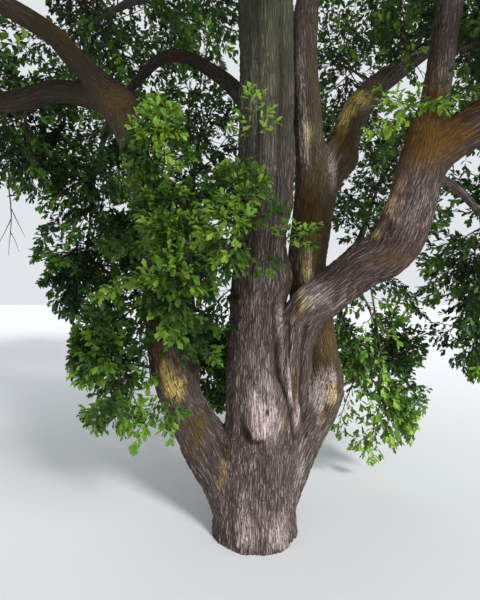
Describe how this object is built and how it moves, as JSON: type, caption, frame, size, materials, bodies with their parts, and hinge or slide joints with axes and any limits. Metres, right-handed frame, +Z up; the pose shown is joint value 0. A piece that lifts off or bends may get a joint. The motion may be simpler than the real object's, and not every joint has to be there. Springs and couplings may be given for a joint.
{
  "type": "oak tree",
  "caption": "Broad old downy oak: short forked trunk with furrowed bark, a leader, side stems, an elbowed bough on the right, and a full crown in separate masses of foliage.",
  "frame": {"origin": "middle of the trunk's flat cut at ground level", "axes": "+Z up along the trunk, -Y towards the road that the tree is seen from, +X to the right as seen from there"},
  "size_m": [11.9432, 12.4713, 12.3778],
  "materials": {
    "bark": "deeply furrowed grey-brown bark with lichen",
    "foliage": "matt green oak leaves on brown twigs"
  },
  "bodies": {
    "root": {"back_bough": "bark", "back_left_bough": "bark", "back_low_bough": "bark", "back_right_bough": "bark", "back_rising_bough": "bark", "back_stem": "bark", "front_left_bough": "bark", "front_right_bough": "bark", "leader": "bark", "left_arc_bough": "bark", "left_inner_bough": "bark", "left_lower_bough": "bark", "left_stem": "bark", "left_top_bough": "bark", "left_upper_bough": "bark", "right_bough": "bark", "right_hanging_bough": "bark", "right_outer_bough": "bark", "right_rising_bough": "bark", "trunk": "bark", "upper_back_bough": "bark", "upper_front_bough": "bark", "upper_front_left_bough": "bark", "upper_left_bough": "bark", "back_foliage": "foliage", "back_left_foliage": "foliage", "back_low_foliage": "foliage", "front_left_foliage": "foliage", "front_right_foliage": "foliage", "inner_left_foliage": "foliage", "inner_right_foliage": "foliage", "inner_top_foliage": "foliage", "leader_shoots_foliage": "foliage", "left_behind_foliage": "foliage", "left_drape_foliage": "foliage", "left_foliage": "foliage", "left_front_foliage": "foliage", "left_low_foliage": "foliage", "left_middle_foliage": "foliage", "left_outer_foliage": "foliage", "left_shoots_foliage": "foliage", "left_skirt_foliage": "foliage", "left_top_foliage": "foliage", "right_edge_foliage": "foliage", "right_foliage": "foliage", "right_hanging_foliage": "foliage", "right_inner_foliage": "foliage", "right_low_foliage": "foliage", "right_outer_foliage": "foliage", "top_back_foliage": "foliage", "top_front_foliage": "foliage", "top_left_foliage": "foliage", "top_middle_foliage": "foliage", "top_right_foliage": "foliage", "upper_back_foliage": "foliage", "upper_back_right_foliage": "foliage", "upper_front_foliage": "foliage", "upper_front_left_foliage": "foliage", "upper_left_foliage": "foliage", "upper_right_foliage": "foliage"}
  },
  "joints": []
}
